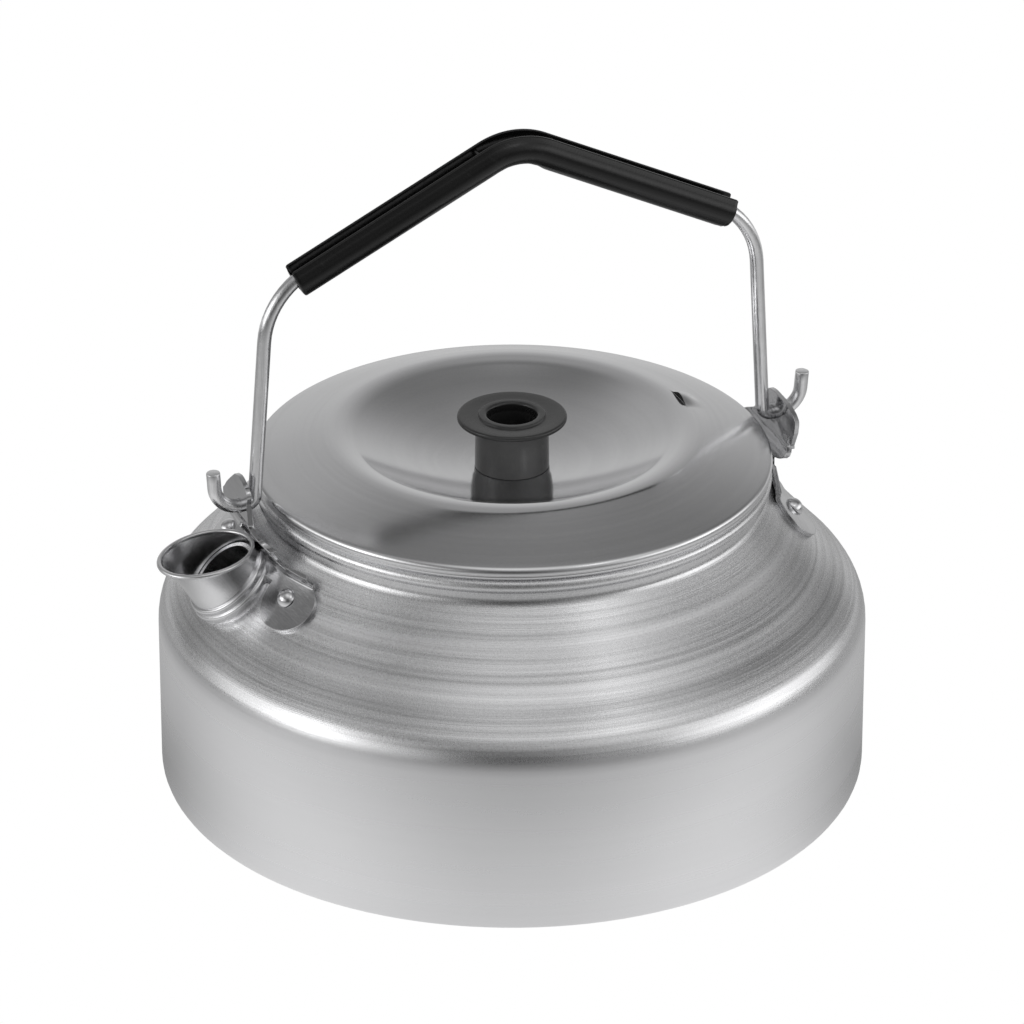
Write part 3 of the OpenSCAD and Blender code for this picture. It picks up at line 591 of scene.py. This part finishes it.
waist_r, flare, tube_l, tube_rise, sheet_t = 10.6, 3.4, 15.0, 1.5, 1.1
flare_r = ((tube_l - tube_rise) ** 2 + flare**2) / (2 * flare)
mouth_up, mouth_tilt, tube_foot = 7.6, math.radians(20), -3.4


def tube_radius(z):
    """The waist's radius up to tube_rise, then out along an arc of the radius flare_r."""
    return waist_r + flare_r - np.sqrt(flare_r**2 - np.maximum(z - tube_rise, 0) ** 2)


# The mouth is where the tube meets a plane tilted by mouth_tilt; repeating the step settles its height.
round_tube = round_angles(144)
mouth_z = np.full_like(round_tube, mouth_up)
for again in range(12):
    mouth_z = mouth_up - tube_radius(mouth_z) * np.cos(round_tube) * math.tan(mouth_tilt)
outside_z = tube_foot + (mouth_z - tube_foot) * np.linspace(0, 1, 26)[:, None]
outside_r = tube_radius(outside_z)
lean = (tube_radius(mouth_z) - tube_radius(mouth_z - 0.1)) / 0.1
roll = np.radians(np.linspace(0, 180, 11))[1:-1, None]
bead = sheet_t / 2 + 0.12
lip_r = tube_radius(mouth_z) - sheet_t / 2 + bead * (np.cos(roll) + lean * np.sin(roll))
lip_up = mouth_z + bead * (np.sin(roll) - lean * np.cos(roll))
tube_r = np.concatenate([outside_r, lip_r, outside_r[::-1] - sheet_t])
tube_h = np.concatenate([outside_z, lip_up, outside_z[::-1]])
tube_points = np.stack([tube_r * np.cos(round_tube), tube_r * np.sin(round_tube), tube_h], -1)
spout_points = np.concatenate([
    set_in(ring_points, foot_at, foot_x, foot_z),
    set_in(tube_points, foot_at + ring_h * foot_z, tube_x, tube_z),
])
spout_faces = np.concatenate([sides(ring_points), sides(tube_points) + ring_points.size // 3])
spout = put_mesh("flared_spout", spout_points * mm, spout_faces)
spout.data.materials.append(spun_metal("spun_spout", 0.79, 0.24, ring_depth=0.15, grain_depth=0.35))
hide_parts("spout")
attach(spout, "kettle")


# Brackets and rivets: two stampings of bright rolled sheet with faint long scratches, each held to
# the shoulder by two turned rivets. The rivet and washer of the knob are of the same metal.
def bright_sheet(name, base, rough, edge):
    """Polished sheet: noise drawn out along Y for the rolling marks, small dents, edges shaded round."""
    p = Paint(name)
    at = p.node("ShaderNodeTexCoord", {})[3]
    drawn = p.node("ShaderNodeMapping", {"vector_type": "POINT"}, at, Scale=(1600.0, 160.0, 1600.0))[0]
    scratch = noise(p, drawn, 1.0, 3.0, 0.7)
    cloud = noise(p, at, 190.0, 3.0, 0.5)
    tone = ((scratch - 0.5) * 0.16 + (cloud - 0.5) * 0.2 + 1.0) * base
    roughness = ((scratch - 0.5) * 0.12 + (cloud - 0.5) * 0.16 + rough).clamp(0.05, 0.9)
    rounded = p.node("ShaderNodeBevel", {"samples": 6}, Radius=edge)[0]
    dents = scratch * 0.3 + cloud
    normal = p.node("ShaderNodeBump", {}, Strength=0.25, Distance=0.0004, Height=dents, Normal=rounded)[0]
    return grey_surface(p, tone, 1.015, roughness, Metallic=1.0, Normal=normal)


stamped = bright_sheet("bright_sheet", 0.56, 0.08, edge=0.0003)
turned_rivet = bright_sheet("rivet_metal", 0.78, 0.14, edge=0.0002)
for name in ("knob_rivet", "knob_washer"):
    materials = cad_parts[name].data.materials
    materials.clear()
    materials.append(turned_rivet)

# Half widths of the sheet as rows of height and width: as it was cut, then as drawn on each
# bracket, always the wing's side and the narrow side. The widths apply above web_from.
web_from, hole_room = 75.4, 2.6
cut_wing = ((web_from, 15.6), (78.4, 11.0), (81.3, 11.0), (84.7, 12.6), (88.0, 14.4), (93.0, 14.0))
cut_narrow = ((web_from, 15.6), (78.5, 5.2), (81.7, 4.5), (92.6, 4.9))
rear_wing = (
    (web_from, 15.6), (75.9, 7.0), (77.5, 7.6), (79.0, 12.0), (80.0, 13.0), (81.0, 12.6), (82.5, 11.0),
    (84.0, 11.2), (86.0, 13.2), (88.0, 13.8), (90.5, 14.0), (92.0, 12.6), (93.2, 9.5))
rear_narrow = ((web_from, 15.6), (79.0, 14.5), (82.0, 13.2), (85.1, 9.6), (89.2, 6.0), (93.2, 3.0))
front_wing = (
    (web_from, 15.6), (78.5, 12.5), (81.3, 11.5), (84.0, 12.6), (86.8, 12.3), (89.5, 9.5), (91.6, 6.1),
    (93.2, 3.2))
front_narrow = (
    (web_from, 15.6), (76.2, 13.4), (77.0, 12.0), (79.0, 10.2), (81.0, 9.5), (82.0, 10.0), (83.0, 8.6),
    (84.0, 6.8), (85.0, 5.4), (86.0, 3.3), (88.0, 3.9), (90.0, 5.5), (93.2, 8.0))
rivet_y, lobe_grow, hole_z = 20.6, 0.2, 89.2
foot_out, sheet_half = 1.3, 0.4


def slide_out(r, z, bend_out=foot_out):
    """How far out along the shoulder a point of a bracket's foot sits from its place in the cut solid."""
    return (foot_out + (bend_out - foot_out) * (1 - ease(65.0, 70.0, r))) * (1 - ease(75.5, 81.0, z))


def press(side, wing, narrow, taller, bend_out):
    """Gives each side of a bracket beyond its hole the widths given and keeps the web round.

    The foot moves outward and up with the shoulder, and the ear grows by the share taller above hole_z."""

    def change(points):
        x, y, z = side * points[:, 0], side * points[:, 1], points[:, 2]
        wide = np.zeros_like(y)
        for half, old, new in ((y < 0, cut_wing, wing), (y >= 0, cut_narrow, narrow)):
            was, now = (np.interp(z, *np.array(widths).T) for widths in (old, new))
            wide[half] = ((now - hole_room) / (was - hole_room))[half]
        web_y = np.sign(y) * (np.minimum(np.abs(y), hole_room) + (np.abs(y) - hole_room).clip(0, None) * wide)
        foot_y = y + np.sign(y) * (np.abs(y) - rivet_y).clip(0, None) * lobe_grow
        drawn_y = np.where(z > web_from, web_y, foot_y)
        rolled = np.sqrt((x * x + y * y - drawn_y * drawn_y).clip(1.0, None))
        x = rolled + (x - rolled) * ease(81.0, 86.0, z)
        r = np.hypot(x, drawn_y)
        slid = slide_out(r, z, bend_out)
        up = lift(r + slid - sheet_half) * (1 - ease(75.0, 84.0, z)) - slid
        grow = 1 + slid / r
        z = z + up + (z - hole_z).clip(0, None) * taller
        return np.stack([side * x * grow, side * drawn_y * grow, z], -1)

    return change


def set_rivet(points):
    """Moves a rivet with the foot that it holds."""
    middle = (points.min(0) + points.max(0)) / 2
    r = math.hypot(middle[0], middle[1])
    slid = float(slide_out(r, 70.0))
    return points + [middle[0] / r * slid, middle[1] / r * slid, float(lift(r + slid)) - slid]


for name, change in (
    ("front_bracket", press(-1, front_wing, front_narrow, taller=0.4, bend_out=2.4)),
    ("rear_bracket", press(1, rear_wing, rear_narrow, taller=0.0, bend_out=foot_out)),
):
    reshaped(name, change, stamped)
for name in ("front_rivet_left", "front_rivet_right", "rear_rivet_left", "rear_rivet_right"):
    reshaped(name, set_rivet, turned_rivet)

# Bail: one bent wire, drawn in its own plane with the holes at height 0, then stood up with a
# slight lean. Both ends are hooked through the ears and cut square.
wire_r = 1.75
pivot_z = lip_z + 2
leg_foot, leg_top, leg_h = 69.0, 65.3, 56.0
arm_slope, bail_lean, hook_lean = math.radians(26.2), math.radians(1.5), 4
hook_at, hook_l = neck_r + 8.6 + 6.7, 10.4
hook_tip = np.array([hook_at, 0]) + hook_l * leaned(hook_lean)
bail_top = np.array([0.0, leg_h + leg_top * math.tan(arm_slope)])
half_bail = [tuple(hook_tip), (hook_at, 0), (leg_foot, 0), (leg_top, leg_h)]
mirror_bail = [(-x, h) for x, h in half_bail]
wire_path = bent_path(
    [*mirror_bail, tuple(bail_top), *half_bail[::-1]], [6.4, 2.5, 21, 26, 21, 2.5, 6.4], 1.5, 0.09)


def with_ends(path, steps):
    """A path whose two end points give way to points at each of steps inward from them."""
    steps = np.array(steps)[:, None]
    first, last = unit(path[1] - path[0]), unit(path[-2] - path[-1])
    return np.concatenate([path[0] + first * steps, path[1:-1], path[-1] + last * steps[::-1]])


def swept(path, sections):
    """Sections, each a ring of (across, up) points, set square to a path in the bail's plane.

    Where two points of the path are one, the section there is a single point and needs no direction."""
    ahead = np.gradient(path, axis=0)
    ahead /= np.linalg.norm(ahead, axis=1).clip(1e-9)[:, None]
    up = np.stack([-ahead[:, 1], ahead[:, 0]], -1)
    points = path[:, None, :] + sections[..., 1:2] * up[:, None, :]
    return np.stack([points[..., 0], sections[..., 0], points[..., 1]], -1)


def stand_up(points):
    """Leans the bail's plane back about X to rest and lifts it to the holes."""
    x, y, h = np.moveaxis(points, -1, 0)
    c, s = math.cos(bail_lean), math.sin(bail_lean)
    return np.stack([x, y * c - h * s, y * s + h * c + pivot_z], -1)


end_r = np.array([0.0, 1.5, 1.68, wire_r])
wire_line = with_ends(wire_path, [0.0, 0.0, 0.07, 0.25])
radii = np.concatenate([end_r, np.full(len(wire_path) - 2, wire_r), end_r[::-1]])
round_wire = round_angles(40)[0]
ring = np.stack([np.cos(round_wire), np.sin(round_wire)], -1)
wire_points = swept(wire_line, radii[:, None, None] * ring)
wire = put_mesh("bail_wire_bent", stand_up(wire_points) * mm, sides(wire_points, closed=False))


def drawn_wire(name, base, rough):
    """Drawn wire: noise drawn out along Z, the way the legs run, with faint blotches."""
    p = Paint(name)
    at = p.node("ShaderNodeTexCoord", {})[3]
    drawn = p.node("ShaderNodeMapping", {"vector_type": "POINT"}, at, Scale=(2400.0, 2400.0, 90.0))[0]
    line = noise(p, drawn, 1.0, 3.0, 0.7)
    cloud = noise(p, at, 260.0, 3.0, 0.6)
    tone = ((line - 0.5) * 0.34 + (cloud - 0.5) * 0.22 + 1.0) * base
    roughness = ((line - 0.5) * 0.2 + (cloud - 0.5) * 0.12 + rough).clamp(0.06, 0.9)
    normal = p.node("ShaderNodeBump", {}, Strength=0.2, Distance=0.0002, Height=line + cloud * 0.5)[0]
    return grey_surface(p, tone, 1.01, roughness, Metallic=1.0, Normal=normal)


wire.data.materials.append(drawn_wire("drawn_wire", 0.88, 0.22))
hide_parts("bail_wire")
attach(wire, "bail")

# Grip: a black moulded channel pressed over the wire, open above, with a hollow for a finger
# under its top, rounded lower ends and a small lug across the channel beside each end of the bend.
grip_end = 58.2
side_r, side_up, grip_top, grip_deep = 4.3, -0.7, 3.3, -5.0
slot_half, deepest_wire = 1.83, 1.1
end_round, corner_round = 0.6, 2.6
end_z = bail_top[1] - grip_end * math.tan(arm_slope)
grip_line = bent_path([(-grip_end, end_z), tuple(bail_top), (grip_end, end_z)], [17], 1.2, 0.05)
grip_line = with_ends(grip_line, [0.0, 0.06, 0.18, 0.36, end_round])

# The section runs round the underside, up the right wall, through the trough and down the left wall.
underside = arc((0, side_up), side_r, 180, 360, 28)[:-1]
wall_head = bent_path(
    [(3.2, 2.18), (2.65, grip_top), (slot_half, grip_top), (slot_half, 0)], [0.45, 0.25], 0.7, 0.2)
right_wall = np.concatenate([arc((0, side_up), side_r, 0, 42, 10), wall_head[1:]])
left_wall = right_wall[::-1] * [-1, 1]
trough = arc((0, 0), slot_half, 0, -180, 16)
section = np.concatenate([underside, right_wall[:-1], trough[:-1], left_wall[:-1]])
trough_from = len(underside) + len(right_wall) - 1
in_trough = np.zeros(len(section))
in_trough[trough_from:trough_from + len(trough)] = 1
side_way = np.roll(section, -1, axis=0) - np.roll(section, 1, axis=0)
side_way /= np.linalg.norm(side_way, axis=1)[:, None]
outward = np.stack([side_way[:, 1], -side_way[:, 0]], -1)

# Towards each end the section shrinks along a quarter circle and its underside rises along another.
# The trough sinks with the wire where the wire's bend is wider than the grip's.
from_end = np.minimum(*(np.linalg.norm(grip_line - end, axis=1) for end in (grip_line[0], grip_line[-1])))
shrink = end_round - np.sqrt(end_round**2 - (end_round - from_end).clip(0, end_round) ** 2)
sections = section[None] - shrink[:, None, None] * outward[None]
wire_height = np.interp(grip_line[:, 0], wire_path[4:-4, 0], wire_path[4:-4, 1])
sink = ((grip_line[:, 1] - wire_height) * math.cos(arm_slope)).clip(0, deepest_wire)
sections[..., 1] -= in_trough[None, :] * sink[:, None]
corner = corner_round - from_end.clip(0, corner_round)
rise = corner_round - np.sqrt(corner_round**2 - corner**2)
sections[..., 1] = np.maximum(sections[..., 1], (grip_deep + rise)[:, None])
grip_points = swept(grip_line, sections)
hollow_top, hollow_r, hollow_half = 82.38, 9.6, 7.0
inside = np.abs(grip_points[..., 0]) < hollow_half
roof = hollow_top - hollow_r + np.sqrt(hollow_r**2 - np.where(inside, grip_points[..., 0], 0) ** 2)
grip_points[..., 2] = np.where(inside, np.maximum(grip_points[..., 2], roof), grip_points[..., 2])

lug_r, lug_half, lug_at = 0.6, 2.4, 10.0
lug_high = np.interp(lug_at, grip_line[:, 0], grip_line[:, 1]) + 2.3
lug_profile = bent_path(
    [(0, -lug_half), (lug_r, -lug_half), (lug_r, lug_half), (0, lug_half)], [0.2, 0.2], 0.8, 0.4)
lug_points = turned(lug_profile, round_angles(20))[..., [0, 2, 1]] * [1, 1, -1]
count, columns = grip_points.size // 3, grip_points.shape[1]
faces = [*sides(grip_points, closed=False), np.arange(columns)[::-1], np.arange(columns) + count - columns]
points = [grip_points.reshape(-1, 3)]
for side in (-1, 1):
    faces += [f + count for f in sides(lug_points, closed=False)]
    points.append(lug_points.reshape(-1, 3) + [side * lug_at, 0, lug_high])
    count += lug_points.size // 3
grip = put_mesh("bail_grip_moulded", stand_up(np.concatenate(points)) * mm, faces)
grip.data.materials.append(moulded("grip_black", 0.004, 0.22, scratch=0.012))
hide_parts("bail_grip")
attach(grip, "bail")
